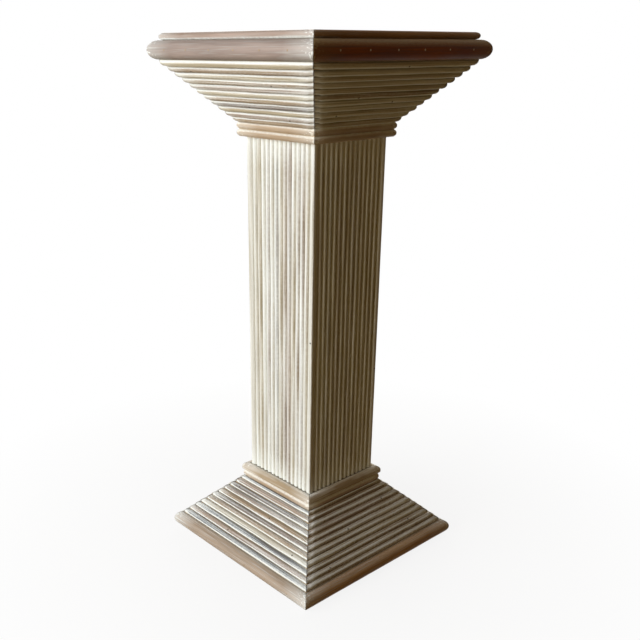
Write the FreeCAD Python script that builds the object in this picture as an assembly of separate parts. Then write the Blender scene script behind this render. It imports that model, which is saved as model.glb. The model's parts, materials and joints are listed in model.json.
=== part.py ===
import FreeCAD, Part
import math
import os

# A square pedestal column of plywood, skinned in split half-round reed. Sizes are millimetres.
# It stands on Z = 0 and is centred on the Z axis. Its sides face -Y (front), +X (right),
# +Y (back) and -X (left), and are alike: each piece is made for the front and turned about Z.
# A section is drawn as (out, up): out is the distance from the axis towards the front, up the
# height above the floor.

# --- Driving sizes ---------------------------------------------------------------------------
TOTAL_HEIGHT = 762.0
TOP_WIDTH = 302.6             # across the frame that carries the top rail
BASE_WIDTH = 302.4            # across the frame that carries the base rail
SHAFT_WIDTH = 128.0           # across the plywood core, without its reeds
SHAFT_PLY = 12.0

TOP_PANEL_THICKNESS = 9.0
RAIL_HEIGHT = 24.0            # big half-round at the top and the foot
RAIL_DEPTH = 12.0
BATTEN_WIDTH = 45.0
TRIM_INSET = 0.2              # crown of the top trim, inside the frame's face

SLOPE_PLY = 9.0               # flaring panels of the capital and the base
CAPITAL_SLOPE_HEIGHT = 78.6
BASE_SLOPE_HEIGHT = 72.5
BASE_PANEL_INSET = 1.2        # foot of the flaring panel, inside the frame's face

REED_DEPTH = 4.6
REED_GAP = 0.2
CAPITAL_REEDS = 11
CAPITAL_TOP_REED_WIDTH = 11.0
BASE_REED_PITCH = 9.7
SHAFT_REEDS = 15
CORNER_REED_WIDTH = 10.3
CORNER_ROUND = 1.5

BAND_THICKNESS = 11.4         # collars that ring the core
NECK_BAND_HEIGHT = 19.4
NECK_REEDS = 2
FOOT_BAND_HEIGHT = 12.5
CAP_HEIGHT = 12.0
CAP_DOME = 2.2                # rise of the cap above the ends of the shaft reeds
CAP_DOME_BOW = 0.55           # bow of the dome above a straight slope
CAP_TOP_ROUND = 7.0
CAP_TOP_ROUND_SHARE = 0.7     # most of the cap's height, or of its ledge, that the round takes
CAP_BOTTOM_ROUND = 2.5
CAP_BOTTOM_ROUND_SHARE = 0.25

BOARD_THICKNESS = 12.0
BOARD_CLEARANCE = 0.5
BLOCK_SIDE = 30.0
BLOCK_LENGTH = 40.0

SCREW_LENGTH = 30.0
SCREW_RADIUS = 1.75
SCREW_HEAD_RADIUS = 3.5
SCREW_HEAD_HEIGHT = 2.5
SCREW_TIP_LENGTH = 4.0
COUNTERBORE_DEPTH = 4.0
BATTEN_SCREWS = 2
BATTEN_SCREW_SPACING = 120.0

BRADS_PER_RAIL = 6
BRAD_RADIUS = 0.8
BRAD_LENGTH = 30.0
BRAD_SINK = 0.8
BRAD_END_MARGIN = 30.0
FASTENER_CLEARANCE = 0.05

# --- Places that follow from them ------------------------------------------------------------
SIDES = {"front": 0.0, "right": 90.0, "back": 180.0, "left": 270.0}
REACH = max(TOP_WIDTH, BASE_WIDTH)
UP = FreeCAD.Vector(0, 0, 1)

core_half = SHAFT_WIDTH / 2
shaft_face = core_half + REED_DEPTH
band_face = core_half + BAND_THICKNESS
collar_crown = band_face + REED_DEPTH
top_half = TOP_WIDTH / 2
base_half = BASE_WIDTH / 2

panel_underside = TOTAL_HEIGHT - TOP_PANEL_THICKNESS
capital_top = panel_underside - RAIL_HEIGHT
neck_top = capital_top - CAPITAL_SLOPE_HEIGHT
neck_bottom = neck_top - NECK_BAND_HEIGHT
plinth_top = RAIL_HEIGHT
core_bottom = plinth_top + BOARD_THICKNESS
foot_bottom = plinth_top + BASE_SLOPE_HEIGHT
cap_bottom = foot_bottom + FOOT_BAND_HEIGHT
cap_top = cap_bottom + CAP_HEIGHT
reed_foot = cap_top - CAP_DOME

# Outer lines of the flaring panels, each from its upper end to its lower end.
CAPITAL_LINE = ((top_half, capital_top), (band_face, neck_top))
BASE_LINE = ((band_face, foot_bottom), (base_half - BASE_PANEL_INSET, plinth_top))


# --- Section geometry ------------------------------------------------------------------------
def section_point(point):
    """Point of a section, placed in the plane at the far left of the front."""
    return FreeCAD.Vector(-REACH, -point[0], point[1])


def run_direction(start, end):
    """Unit direction from start to end."""
    length = math.dist(start, end)
    return (end[0] - start[0]) / length, (end[1] - start[1]) / length


def outward(start, end):
    """Unit direction square to a run that goes down a side, pointing away from the column."""
    direction = run_direction(start, end)
    return -direction[1], direction[0]


def moved(point, direction, distance):
    """Point shifted along a direction."""
    return point[0] + direction[0] * distance, point[1] + direction[1] * distance


def polygon(points):
    """Flat face with straight edges through the points of a section."""
    corners = [section_point(point) for point in points]
    return Part.Face(Part.makePolygon(corners + corners[:1]))


def half_round(start, end, depth):
    """Section of a half-round strip, straight behind and bowed in front by a half circle at most."""
    middle = ((start[0] + end[0]) / 2, (start[1] + end[1]) / 2)
    crown = moved(middle, outward(start, end), min(depth, math.dist(start, end) / 2))
    bow = Part.Arc(section_point(start), section_point(crown), section_point(end))
    back = Part.LineSegment(section_point(end), section_point(start))
    return Part.Face(Part.Wire([bow.toShape(), back.toShape()]))


def reed_sections(start, end, widths, first_offset=0.0):
    """Half-round reeds of the given widths, laid one below the other down a run."""
    direction = run_direction(start, end)
    sections = []
    offset = first_offset
    for width in widths:
        upper = moved(start, direction, offset + REED_GAP / 2)
        lower = moved(start, direction, offset + width - REED_GAP / 2)
        sections.append(half_round(upper, lower, REED_DEPTH))
        offset += width
    return sections


def bevelled(section, corner, away, own_normal, other_normal):
    """Section cut back to the line that halves the inner corner between two runs of reeds."""
    halfway = (own_normal[0] + other_normal[0], own_normal[1] + other_normal[1])
    keep = [
        moved(corner, halfway, -REACH),
        moved(corner, halfway, REACH),
        moved(moved(corner, halfway, REACH), away, REACH),
        moved(moved(corner, halfway, -REACH), away, REACH),
    ]
    return section.common(polygon(keep)).Faces[0]


# --- Solids ----------------------------------------------------------------------------------
def front_quarter():
    """Wedge of space in front of the axis, between the two vertical mitre planes."""
    bottom = -REACH
    corners = [
        FreeCAD.Vector(0, 0, bottom),
        FreeCAD.Vector(-2 * REACH, -2 * REACH, bottom),
        FreeCAD.Vector(2 * REACH, -2 * REACH, bottom),
    ]
    face = Part.Face(Part.makePolygon(corners + corners[:1]))
    return face.extrude(UP * (TOTAL_HEIGHT + 2 * REACH))


FRONT_QUARTER = front_quarter()


def mitred(section):
    """Front piece of the given section, mitred at both ends against the side pieces."""
    bar = section.extrude(FreeCAD.Vector(2 * REACH, 0, 0))
    return bar.common(FRONT_QUARTER).Solids[0]


def turned(shape, angle):
    """Copy of a front shape, turned about the axis to another side."""
    copy = shape.copy()
    copy.rotate(FreeCAD.Vector(0, 0, 0), UP, angle)
    return copy


def square_board(half_width, bottom, thickness):
    """Square board centred on the axis."""
    corner = FreeCAD.Vector(-half_width, -half_width, bottom)
    return Part.makeBox(2 * half_width, 2 * half_width, thickness, corner)


def save(name, solids):
    """Write one node: a single solid, or a group of separate ones."""
    shape = solids[0] if len(solids) == 1 else Part.makeCompound(solids)
    shape.exportStep("parts/" + name + ".step")


def save_each_side(name, solids):
    """Write the front pieces once for each side, as four nodes."""
    for side, angle in SIDES.items():
        save(name + "_" + side, [turned(solid, angle) for solid in solids])


def save_ring(name, solids):
    """Write the front pieces and their copies on the other sides as one node."""
    save(name, [turned(solid, angle) for angle in SIDES.values() for solid in solids])


# --- Fasteners -------------------------------------------------------------------------------
def screw(x, y, head_z, clearance=0.0):
    """Countersunk wood screw that points up, its head's flat face at head_z."""
    head = SCREW_HEAD_RADIUS + clearance
    shank = SCREW_RADIUS + clearance
    outline = [
        (0, 0),
        (head, 0),
        (shank, SCREW_HEAD_HEIGHT),
        (shank, SCREW_LENGTH - SCREW_TIP_LENGTH),
        (0, SCREW_LENGTH),
        (0, 0),
    ]
    wire = Part.makePolygon([FreeCAD.Vector(radius, 0, height) for radius, height in outline])
    body = Part.Face(wire).revolve(FreeCAD.Vector(0, 0, 0), UP, 360)
    body.translate(FreeCAD.Vector(x, y, head_z))
    return body


def block_centre():
    """Distance from the axis to a glue block's centre, along X and along Y."""
    return core_half - SHAFT_PLY - BLOCK_SIDE / 2


def block_screw_places():
    """Screw at each corner of the core, up through the base board into a glue block."""
    centre = block_centre()
    return [(x, y, plinth_top) for x in (-centre, centre) for y in (-centre, centre)]


def batten_screw_places():
    """Screws of the front base batten, in the middle of its overlap with the base board."""
    overlap_middle = (base_half - BATTEN_WIDTH + board_half()) / 2
    first = -BATTEN_SCREW_SPACING * (BATTEN_SCREWS - 1) / 2
    xs = [first + BATTEN_SCREW_SPACING * index for index in range(BATTEN_SCREWS)]
    return [(x, -overlap_middle, COUNTERBORE_DEPTH) for x in xs]


def batten_screws(clearance=0.0):
    """Screws of all four base battens."""
    front = [screw(*place, clearance) for place in batten_screw_places()]
    return [turned(solid, angle) for angle in SIDES.values() for solid in front]


def wood_screws():
    """All the screws of the base, which are alike."""
    return [screw(*place) for place in block_screw_places()] + batten_screws()


def brad_pins(frame_half, middle_height, radius, proud):
    """Pins along a front rail, from proud of the crown's surface back into the batten."""
    head = frame_half + RAIL_DEPTH - BRAD_SINK
    reach = frame_half - BRAD_END_MARGIN
    step = 2 * reach / (BRADS_PER_RAIL - 1)
    pins = []
    for index in range(BRADS_PER_RAIL):
        start = FreeCAD.Vector(-reach + step * index, -head - proud, middle_height)
        pins.append(Part.makeCylinder(radius, BRAD_LENGTH + proud, start, FreeCAD.Vector(0, 1, 0)))
    return pins


def top_brads(radius, proud=0.0):
    """Pins of the front top rail."""
    return brad_pins(top_half, capital_top + RAIL_HEIGHT / 2, radius, proud)


def base_brads(radius, proud=0.0):
    """Pins of the front base rail."""
    return brad_pins(base_half, RAIL_HEIGHT / 2, radius, proud)


def drilled(solid, pins):
    """Solid with the holes of its brads, each open through the rail's face."""
    return solid.cut(Part.makeCompound(pins)).Solids[0]


def hole_pins(pins_of):
    """Hole shapes of a rail's brads, wider by the clearance and running out past the face."""
    return pins_of(BRAD_RADIUS + FASTENER_CLEARANCE, proud=RAIL_DEPTH)


# --- Top -------------------------------------------------------------------------------------
def trim_back():
    """Distance from the axis to the edge of the top panel, where the trim is fixed."""
    return top_half - TRIM_INSET - REED_DEPTH


def top_panel():
    """Board that closes the top, inside the trim."""
    return square_board(trim_back(), panel_underside, TOP_PANEL_THICKNESS)


def top_trim():
    """Half-round strip on the edge of the top panel."""
    back = trim_back()
    return mitred(half_round((back, TOTAL_HEIGHT), (back, panel_underside), REED_DEPTH))


def rail(frame_half, bottom):
    """Big half-round rail on the face of a frame batten, as high as the batten."""
    return mitred(half_round((frame_half, bottom + RAIL_HEIGHT), (frame_half, bottom), RAIL_DEPTH))


def batten(frame_half, bottom):
    """Frame batten behind a rail."""
    inner = frame_half - BATTEN_WIDTH
    top = bottom + RAIL_HEIGHT
    corners = [(inner, bottom), (frame_half, bottom), (frame_half, top), (inner, top)]
    return mitred(polygon(corners))


# --- Flaring panels and their reeds ----------------------------------------------------------
def level_thickness(line):
    """Thickness of a flaring panel measured level, which is more than its plywood."""
    return SLOPE_PLY / outward(*line)[0]


def flaring_panel(line):
    """Sloping plywood panel below an outer line, with level ends, cut back to clear the core."""
    upper, lower = line
    inward = level_thickness(line)
    inner_lower = (lower[0] - inward, lower[1])
    inner_upper = (upper[0] - inward, upper[1])
    core = square_board(core_half, 0, TOTAL_HEIGHT)
    return mitred(polygon([upper, lower, inner_lower, inner_upper])).cut(core).Solids[0]


def capital_reeds():
    """Reeds down the capital. The wide one is under the rail, and the last is bevelled."""
    start, end = CAPITAL_LINE
    rest = (math.dist(start, end) - CAPITAL_TOP_REED_WIDTH) / (CAPITAL_REEDS - 1)
    sections = reed_sections(start, end, [CAPITAL_TOP_REED_WIDTH] + [rest] * (CAPITAL_REEDS - 1))
    upwards = run_direction(end, start)
    sections[-1] = bevelled(sections[-1], end, upwards, outward(start, end), (1, 0))
    return [mitred(section) for section in sections]


def base_reeds():
    """Reeds down the base, laid up from the rail. The top one is ripped narrower to fit."""
    start, end = BASE_LINE
    length = math.dist(start, end)
    count = math.ceil(length / BASE_REED_PITCH)
    overhang = length - count * BASE_REED_PITCH
    sections = reed_sections(start, end, [BASE_REED_PITCH] * count, overhang)
    downwards = run_direction(start, end)
    sections[0] = bevelled(sections[0], start, downwards, outward(start, end), (1, 0))
    return [mitred(section) for section in sections]


# --- Collars ---------------------------------------------------------------------------------
def band(bottom, top):
    """Plywood strip of a collar, on the face of the core."""
    corners = [(core_half, bottom), (band_face, bottom), (band_face, top), (core_half, top)]
    return mitred(polygon(corners))


def neck_reeds():
    """Reeds on the neck band. The upper one is bevelled to meet the capital's last reed."""
    start = (band_face, neck_top)
    end = (band_face, neck_bottom)
    sections = reed_sections(start, end, [NECK_BAND_HEIGHT / NECK_REEDS] * NECK_REEDS)
    sections[0] = bevelled(sections[0], start, (0, -1), (1, 0), outward(*CAPITAL_LINE))
    return [mitred(section) for section in sections]


def foot_reed():
    """Single reed on the foot band, bevelled below to meet the base's first reed."""
    start = (band_face, cap_bottom)
    end = (band_face, foot_bottom)
    section = half_round(start, end, REED_DEPTH)
    return mitred(bevelled(section, end, (0, 1), (1, 0), outward(*BASE_LINE)))


def foot_cap():
    """Rounded strip that closes the collar: the shaft reeds stand on its inner ledge."""
    round_limit = CAP_TOP_ROUND_SHARE * min(BAND_THICKNESS, CAP_HEIGHT)
    top_round = min(CAP_TOP_ROUND, round_limit)
    bottom_round = min(CAP_BOTTOM_ROUND, CAP_BOTTOM_ROUND_SHARE * CAP_HEIGHT)
    diagonal = math.sqrt(0.5)
    root = (core_half, cap_bottom)
    back = (core_half, reed_foot)
    ledge = (shaft_face, reed_foot)
    summit = (collar_crown - top_round, cap_top)
    slope_middle = ((ledge[0] + summit[0]) / 2, (ledge[1] + summit[1]) / 2)
    dome = moved(slope_middle, (0, 1), CAP_DOME_BOW)
    shoulder = moved(summit, (diagonal, diagonal - 1), top_round)
    side = (collar_crown, cap_top - top_round)
    hip = (collar_crown, cap_bottom + bottom_round)
    tuck = moved(hip, (diagonal - 1, -diagonal), bottom_round)
    heel = (collar_crown - bottom_round, cap_bottom)
    edges = [
        Part.LineSegment(section_point(root), section_point(back)),
        Part.LineSegment(section_point(back), section_point(ledge)),
        Part.Arc(section_point(ledge), section_point(dome), section_point(summit)),
        Part.Arc(section_point(summit), section_point(shoulder), section_point(side)),
        Part.LineSegment(section_point(side), section_point(hip)),
        Part.Arc(section_point(hip), section_point(tuck), section_point(heel)),
        Part.LineSegment(section_point(heel), section_point(root)),
    ]
    return mitred(Part.Face(Part.Wire([edge.toShape() for edge in edges])))


# --- Shaft -----------------------------------------------------------------------------------
def shaft_panel():
    """Plywood side of the hollow core, from the base board up to the top panel."""
    inner = core_half - SHAFT_PLY
    corners = [
        (inner, core_bottom),
        (core_half, core_bottom),
        (core_half, panel_underside),
        (inner, panel_underside),
    ]
    return mitred(polygon(corners))


def plan_point(x, out):
    """Point of a shaft reed's plan, at the height of the reeds' feet."""
    return FreeCAD.Vector(x, -out, reed_foot)


def upright(edges):
    """Shaft reed of the given plan, from the foot cap up to the neck."""
    face = Part.Face(Part.Wire([edge.toShape() for edge in edges]))
    return face.extrude(UP * (neck_bottom - reed_foot)).Solids[0]


def plain_shaft_reed(left, right):
    """Half-round reed between two lines on the front of the core."""
    start = plan_point(left + REED_GAP / 2, core_half)
    end = plan_point(right - REED_GAP / 2, core_half)
    depth = min(REED_DEPTH, start.distanceToPoint(end) / 2)
    crown = plan_point((left + right) / 2, core_half + depth)
    return upright([Part.Arc(start, crown, end), Part.LineSegment(end, start)])


def corner_shaft_reed():
    """Reed at the right corner: round on its inner side, flat to the corner and mitred there."""
    groove = shaft_face - CORNER_REED_WIDTH + REED_GAP / 2
    crown = groove + CORNER_REED_WIDTH / 2
    half_chord = crown - groove
    radius = (half_chord ** 2 + REED_DEPTH ** 2) / (2 * REED_DEPTH)
    centre_out = shaft_face - radius
    half_turn = math.asin(half_chord / radius) / 2
    bow = plan_point(crown - radius * math.sin(half_turn), centre_out + radius * math.cos(half_turn))
    round_centre = shaft_face - CORNER_ROUND
    flat_end = plan_point(round_centre, shaft_face)
    half_way = (math.sin(math.pi / 8), math.cos(math.pi / 8))
    round_middle = plan_point(*moved((round_centre, round_centre), half_way, CORNER_ROUND))
    mitre_out = round_centre + CORNER_ROUND * math.sqrt(0.5)
    mitre_tip = plan_point(mitre_out, mitre_out)
    start = plan_point(groove, core_half)
    mitre_root = plan_point(core_half, core_half)
    return upright([
        Part.Arc(start, bow, plan_point(crown, shaft_face)),
        Part.LineSegment(plan_point(crown, shaft_face), flat_end),
        Part.Arc(flat_end, round_middle, mitre_tip),
        Part.LineSegment(mitre_tip, mitre_root),
        Part.LineSegment(mitre_root, start),
    ])


def shaft_reeds():
    """Reeds of one side of the shaft: a corner reed at each end and plain ones between."""
    right_corner = corner_shaft_reed()
    left_corner = right_corner.mirror(FreeCAD.Vector(0, 0, 0), FreeCAD.Vector(1, 0, 0))
    left = CORNER_REED_WIDTH - shaft_face
    plain_count = SHAFT_REEDS - 2
    pitch = -2 * left / plain_count
    lefts = [left + pitch * index for index in range(plain_count)]
    plain = [plain_shaft_reed(edge, edge + pitch) for edge in lefts]
    return [left_corner] + plain + [right_corner]


# --- Inside ----------------------------------------------------------------------------------
def board_half():
    """Half width of the base board, which just fits inside the feet of the flaring panels."""
    upper, lower = BASE_LINE
    slope = (lower[0] - upper[0]) / (upper[1] - lower[1])
    panel_inside = lower[0] - level_thickness(BASE_LINE) - slope * BOARD_THICKNESS
    return panel_inside - BOARD_CLEARANCE


def base_board():
    """Board on the base battens that carries the core."""
    board = square_board(board_half(), plinth_top, BOARD_THICKNESS)
    holes = [screw(*place, FASTENER_CLEARANCE) for place in block_screw_places()]
    holes += batten_screws(FASTENER_CLEARANCE)
    return board.cut(Part.makeCompound(holes)).Solids[0]


def glue_blocks():
    """Identical blocks in the core's corners, at its foot and under the top panel."""
    centre = block_centre()
    blocks = []
    for bottom in (core_bottom, panel_underside - BLOCK_LENGTH):
        for x in (-centre, centre):
            for y in (-centre, centre):
                corner = FreeCAD.Vector(x - BLOCK_SIDE / 2, y - BLOCK_SIDE / 2, bottom)
                blocks.append(Part.makeBox(BLOCK_SIDE, BLOCK_SIDE, BLOCK_LENGTH, corner))
    holes = Part.makeCompound([screw(*place, FASTENER_CLEARANCE) for place in block_screw_places()])
    return [block.cut(holes).Solids[0] for block in blocks]


def base_batten():
    """Front batten of the plinth, with its brad holes and its counterbored screw holes."""
    solid = drilled(batten(base_half, 0), hole_pins(base_brads))
    for x, y, head_z in batten_screw_places():
        bore_radius = SCREW_HEAD_RADIUS + FASTENER_CLEARANCE
        bore = Part.makeCylinder(bore_radius, head_z, FreeCAD.Vector(x, y, 0))
        solid = solid.cut(bore).cut(screw(x, y, head_z, FASTENER_CLEARANCE))
    return solid.Solids[0]


# --- Write the nodes -------------------------------------------------------------------------
os.makedirs("parts", exist_ok=True)

save("top_panel", [top_panel()])
save_ring("top_trim", [top_trim()])
save_each_side("top_rail", [drilled(rail(top_half, capital_top), hole_pins(top_brads))])
save_each_side("top_batten", [drilled(batten(top_half, capital_top), hole_pins(top_brads))])
save_ring("top_brads", top_brads(BRAD_RADIUS))

save_each_side("capital_panel", [flaring_panel(CAPITAL_LINE)])
save_each_side("capital_reeds", capital_reeds())
save_each_side("neck_band", [band(neck_bottom, neck_top)])
save_ring("neck_reeds", neck_reeds())

save_each_side("shaft_panel", [shaft_panel()])
save_each_side("shaft_reeds", shaft_reeds())

save_each_side("foot_band", [band(foot_bottom, cap_bottom)])
save_ring("foot_reeds", [foot_reed()])
save_ring("foot_caps", [foot_cap()])
save_each_side("base_panel", [flaring_panel(BASE_LINE)])
save_each_side("base_reeds", base_reeds())
save_each_side("base_rail", [drilled(rail(base_half, 0), hole_pins(base_brads))])
save_each_side("base_batten", [base_batten()])
save_ring("base_brads", base_brads(BRAD_RADIUS))

save("base_board", [base_board()])
save("glue_blocks", glue_blocks())
save("wood_screws", wood_screws())
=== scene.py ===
import json
import math

import bmesh
import bpy
import numpy as np
from mathutils import Matrix, Vector


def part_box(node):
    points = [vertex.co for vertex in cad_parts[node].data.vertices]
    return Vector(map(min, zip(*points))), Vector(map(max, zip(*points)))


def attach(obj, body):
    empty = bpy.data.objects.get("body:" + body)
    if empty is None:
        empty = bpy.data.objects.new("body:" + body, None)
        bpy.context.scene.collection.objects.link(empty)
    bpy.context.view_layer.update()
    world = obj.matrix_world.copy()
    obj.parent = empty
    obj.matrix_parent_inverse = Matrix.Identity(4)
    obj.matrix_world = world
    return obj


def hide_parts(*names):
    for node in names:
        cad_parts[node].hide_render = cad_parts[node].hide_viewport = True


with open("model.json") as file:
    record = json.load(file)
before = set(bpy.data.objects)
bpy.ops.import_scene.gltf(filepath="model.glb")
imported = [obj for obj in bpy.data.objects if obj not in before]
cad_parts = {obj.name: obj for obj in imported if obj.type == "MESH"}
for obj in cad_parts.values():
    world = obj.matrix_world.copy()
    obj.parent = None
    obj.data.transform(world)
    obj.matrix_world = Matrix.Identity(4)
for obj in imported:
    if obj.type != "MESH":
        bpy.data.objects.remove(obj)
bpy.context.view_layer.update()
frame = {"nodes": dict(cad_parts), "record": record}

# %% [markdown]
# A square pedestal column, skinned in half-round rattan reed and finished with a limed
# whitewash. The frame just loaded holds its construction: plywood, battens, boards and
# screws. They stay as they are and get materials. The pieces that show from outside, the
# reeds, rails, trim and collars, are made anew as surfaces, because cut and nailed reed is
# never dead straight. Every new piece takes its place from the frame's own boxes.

MM = 0.001

# %% [markdown]
# The four sides of a square column are alike, so each piece is worked out once, for the
# front, which faces -Y, and then turned about the upright axis by quarter turns. Because a
# quarter turn only swaps and negates coordinates, it is written as whole-number sine and
# cosine, and the four sides fit at the corners to the last digit.

# %% Sides
QUARTER_TURNS = {"front": 0, "right": 1, "back": 2, "left": 3}


def turned_to(side, points):
    """Front points turned to another side: x' = x cos a - y sin a, y' = x sin a + y cos a."""
    turns = QUARTER_TURNS[side]
    cosine, sine = (1, 0, -1, 0)[turns], (0, 1, 0, -1)[turns]
    x, y, z = points[..., 0], points[..., 1], points[..., 2]
    return np.stack([x * cosine - y * sine, x * sine + y * cosine, z], axis=-1)


# %% [markdown]
# A section is described by two numbers: out, the distance from the axis towards the front,
# and up, the height above the floor. The frame's boxes give all of them. Each run of reeds
# goes down a straight line from an upper to a lower section point.

# %% Places taken from the frame
def front_reach(node):
    """How far a front node stands out from the axis."""
    return -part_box(node)[0].y


def heights(node):
    """Lowest and highest point of a node."""
    low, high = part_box(node)
    return low.z, high.z


core_half = front_reach("shaft_panel_front")
shaft_face = front_reach("shaft_reeds_front")
band_face = front_reach("neck_band_front")
panel_half = front_reach("top_panel")
top_half = front_reach("top_batten_front")
base_half = front_reach("base_batten_front")
base_foot = front_reach("base_panel_front")
collar_crown = front_reach("foot_caps")

reed_foot, neck_bottom = heights("shaft_reeds_front")
neck_top = heights("neck_band_front")[1]
capital_top = heights("capital_panel_front")[1]
panel_underside, top = heights("top_panel")
foot_bottom, cap_bottom = heights("foot_band_front")
cap_top = heights("foot_caps")[1]
plinth_top = heights("base_panel_front")[0]

CAPITAL_LINE = ((top_half, capital_top), (band_face, neck_top))
NECK_LINE = ((band_face, neck_top), (band_face, neck_bottom))
FOOT_LINE = ((band_face, cap_bottom), (band_face, foot_bottom))
BASE_LINE = ((band_face, foot_bottom), (base_foot, plinth_top))
print("shaft half width", round(shaft_face, 4), "height", round(top, 4))

# %% [markdown]
# Hand-laid reed wanders by a few tenths of a millimetre. A smooth wander is a sum of a few
# long waves with random phases. Every piece draws its own phases from a generator seeded
# with the piece's place in the list, so that a rerun gives the same reeds.

# %% Smooth random wander
WAVES = 3


def random_for(seed):
    """Random numbers that are the same in every run."""
    return np.random.default_rng(seed)


def wander(random, rows, along, wavelength):
    """For each row a sum of cosines of `along`, each wave shorter than the last, within -1..1."""
    orders = np.arange(1, WAVES + 1)
    phases = random.uniform(0, 2 * math.pi, (rows, 1, WAVES))
    angles = 2 * math.pi * along[..., None] * orders / wavelength + phases
    return np.cos(angles).mean(axis=-1)


# %% [markdown]
# A half-round strip is a bow over a flat back. The bow is part of a circle, through both
# edges and the crown. The flat back gets as many points as the bow, so that the end of a
# strip can be closed with a neat ladder of faces between them.

# %% The section of a half-round strip
BOW_POINTS = 13


def bow_and_back(half_chord, depth):
    """Sideways offset and rise of a closed D section, from each strip's half chord c and depth d.

    The circle has radius r = (c*c + d*d) / 2d. A point at share v of the half angle lies
    r sin sideways and r cos - (r - d) up. The back runs home along the chord.
    """
    share = np.linspace(-1, 1, BOW_POINTS)
    radius = (half_chord**2 + depth**2) / (2 * depth)
    half_angle = np.arcsin(np.clip(half_chord / radius, -1, 1))
    angle = half_angle[..., None] * share
    bow_side = radius[..., None] * np.sin(angle)
    bow_rise = radius[..., None] * np.cos(angle) - (radius - depth)[..., None]
    back_side = half_chord[..., None] * share[-2:0:-1]
    side = np.concatenate([bow_side, back_side], axis=-1)
    rise = np.concatenate([bow_rise, np.zeros_like(back_side)], axis=-1)
    across = np.concatenate([share, np.ones(BOW_POINTS - 2)])
    return side, rise, across


# %% [markdown]
# Rows of points along a strip are close together at its ends, where the saw left an edge
# that sanding has eased, and even in between. Each row is given by a share of the run,
# from -1 to 1, and by its distance from the end.

# %% Rows along a strip
END_ROWS = np.array([0.0, 0.3, 0.8, 1.8, 3.5]) * MM
EASED_LENGTH = 1.2 * MM
SIDE_EASING = 0.15 * MM


def rows_along(length, spacing):
    """Share of the half run and distance from the end, for each row of a strip."""
    middle = max(3, round(length / spacing))
    share = np.concatenate([-np.ones(END_ROWS.size), np.linspace(-1, 1, middle), np.ones(END_ROWS.size)])
    last = END_ROWS[-1] * 2
    inset = np.concatenate([END_ROWS, np.full(middle, last), END_ROWS[::-1]])
    return share, inset


def eased(inset, amount):
    """Loss of size near a sawn end: the full amount at the end, fading out as a parabola."""
    return amount * np.clip(1 - inset / EASED_LENGTH, 0, 1) ** 2


# %% [markdown]
# All strips of a piece go into one mesh. Every strip is a tube of points, rows along it by
# points around it. Neighbouring points make four-sided faces, the ends are closed with
# ladders, and the winding is turned round if the enclosed volume comes out negative, so
# that faces always point outwards. Each point also keeps what the finish wants to know:
# the tint of its strip, its place across the bow and how far it is from the nearest end.
# A map called grain holds the distance along and around the strip in metres, so that
# wood grain follows the strip wherever it runs.

# %% Strips into a mesh
SHARP_ANGLE = math.radians(38)


def into_scene(name, data):
    """An object that shows the data, at the origin of the scene."""
    made = bpy.data.objects.new(name, data)
    bpy.context.scene.collection.objects.link(made)
    return made


def wall_faces(tubes, rows, around):
    """Point numbers of the four-sided faces round all tubes, between a row and the next."""
    tube = np.arange(tubes)[:, None, None] * rows * around
    near = tube + np.arange(rows - 1)[None, :, None] * around
    here = np.arange(around)[None, None, :]
    after = (here + 1) % around
    corners = [near + here, near + after, near + around + after, near + around + here]
    return np.stack(corners, axis=-1).reshape(-1, 4)


def tube_faces(strips, rows, around):
    """Point numbers of the faces of all tubes, as walls and end ladders."""
    half = around // 2
    first = np.arange(1, half)
    ladder = np.stack([first, around - first, around - first - 1, first + 1], axis=-1)[:-1]
    tips = np.array([[0, around - 1, 1], [half - 1, half + 1, half]])
    starts = (np.arange(strips) * rows * around)[:, None, None]
    last_row = (rows - 1) * around
    rungs = np.concatenate([ladder + starts, ladder[:, ::-1] + starts + last_row]).reshape(-1, 4)
    points = np.concatenate([tips + starts, tips[:, ::-1] + starts + last_row]).reshape(-1, 3)
    return wall_faces(strips, rows, around), rungs, points


def enclosed_volume(points, faces):
    """Sum over the faces of corner 0 . (corner 1 x corner 2) / 6, for a fan of triangles."""
    total = 0.0
    for corner in range(1, faces.shape[1] - 1):
        a, b, c = points[faces[:, 0]], points[faces[:, corner]], points[faces[:, corner + 1]]
        total += np.einsum("ij,ij->i", a, np.cross(b, c)).sum() / 6
    return total


def strips_piece(name, points, grain, values):
    """One mesh object from tubes of points (strips, rows, around), their grain map and values."""
    strips, rows, around = points.shape[:3]
    flat = points.reshape(-1, 3)
    parts = tube_faces(strips, rows, around)
    if sum(enclosed_volume(flat, faces) for faces in parts) < 0:
        parts = [faces[:, ::-1] for faces in parts]
    faces = [face for part in parts for face in part.tolist()]
    mesh = bpy.data.meshes.new(name)
    mesh.from_pydata(flat.tolist(), [], faces)
    corner_points = np.empty(len(mesh.loops), dtype=np.int32)
    mesh.loops.foreach_get("vertex_index", corner_points)
    mesh.uv_layers.new(name="grain").uv.foreach_set("vector", grain.reshape(-1, 2)[corner_points].ravel())
    for key, value in values.items():
        whole = np.broadcast_to(value, points.shape[:3]).astype(np.float32)
        mesh.attributes.new(key, "FLOAT", "POINT").data.foreach_set("value", whole.ravel())
    mesh.shade_smooth()
    mesh.set_sharp_from_angle(angle=SHARP_ANGLE)
    print(name, "strips", strips, "faces", len(faces))
    return into_scene(name, mesh)


# %% [markdown]
# The reeds, the rails, the trim and the collars all run level round the column and are
# mitred at its corners, so one function makes them. It is given a line down the side, the
# borders between strips along that line, and a depth. The borders wander, and both
# neighbours follow the same border, so that strips never run into each other. On the
# mitre a point's place along the run equals its distance from the axis.

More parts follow.
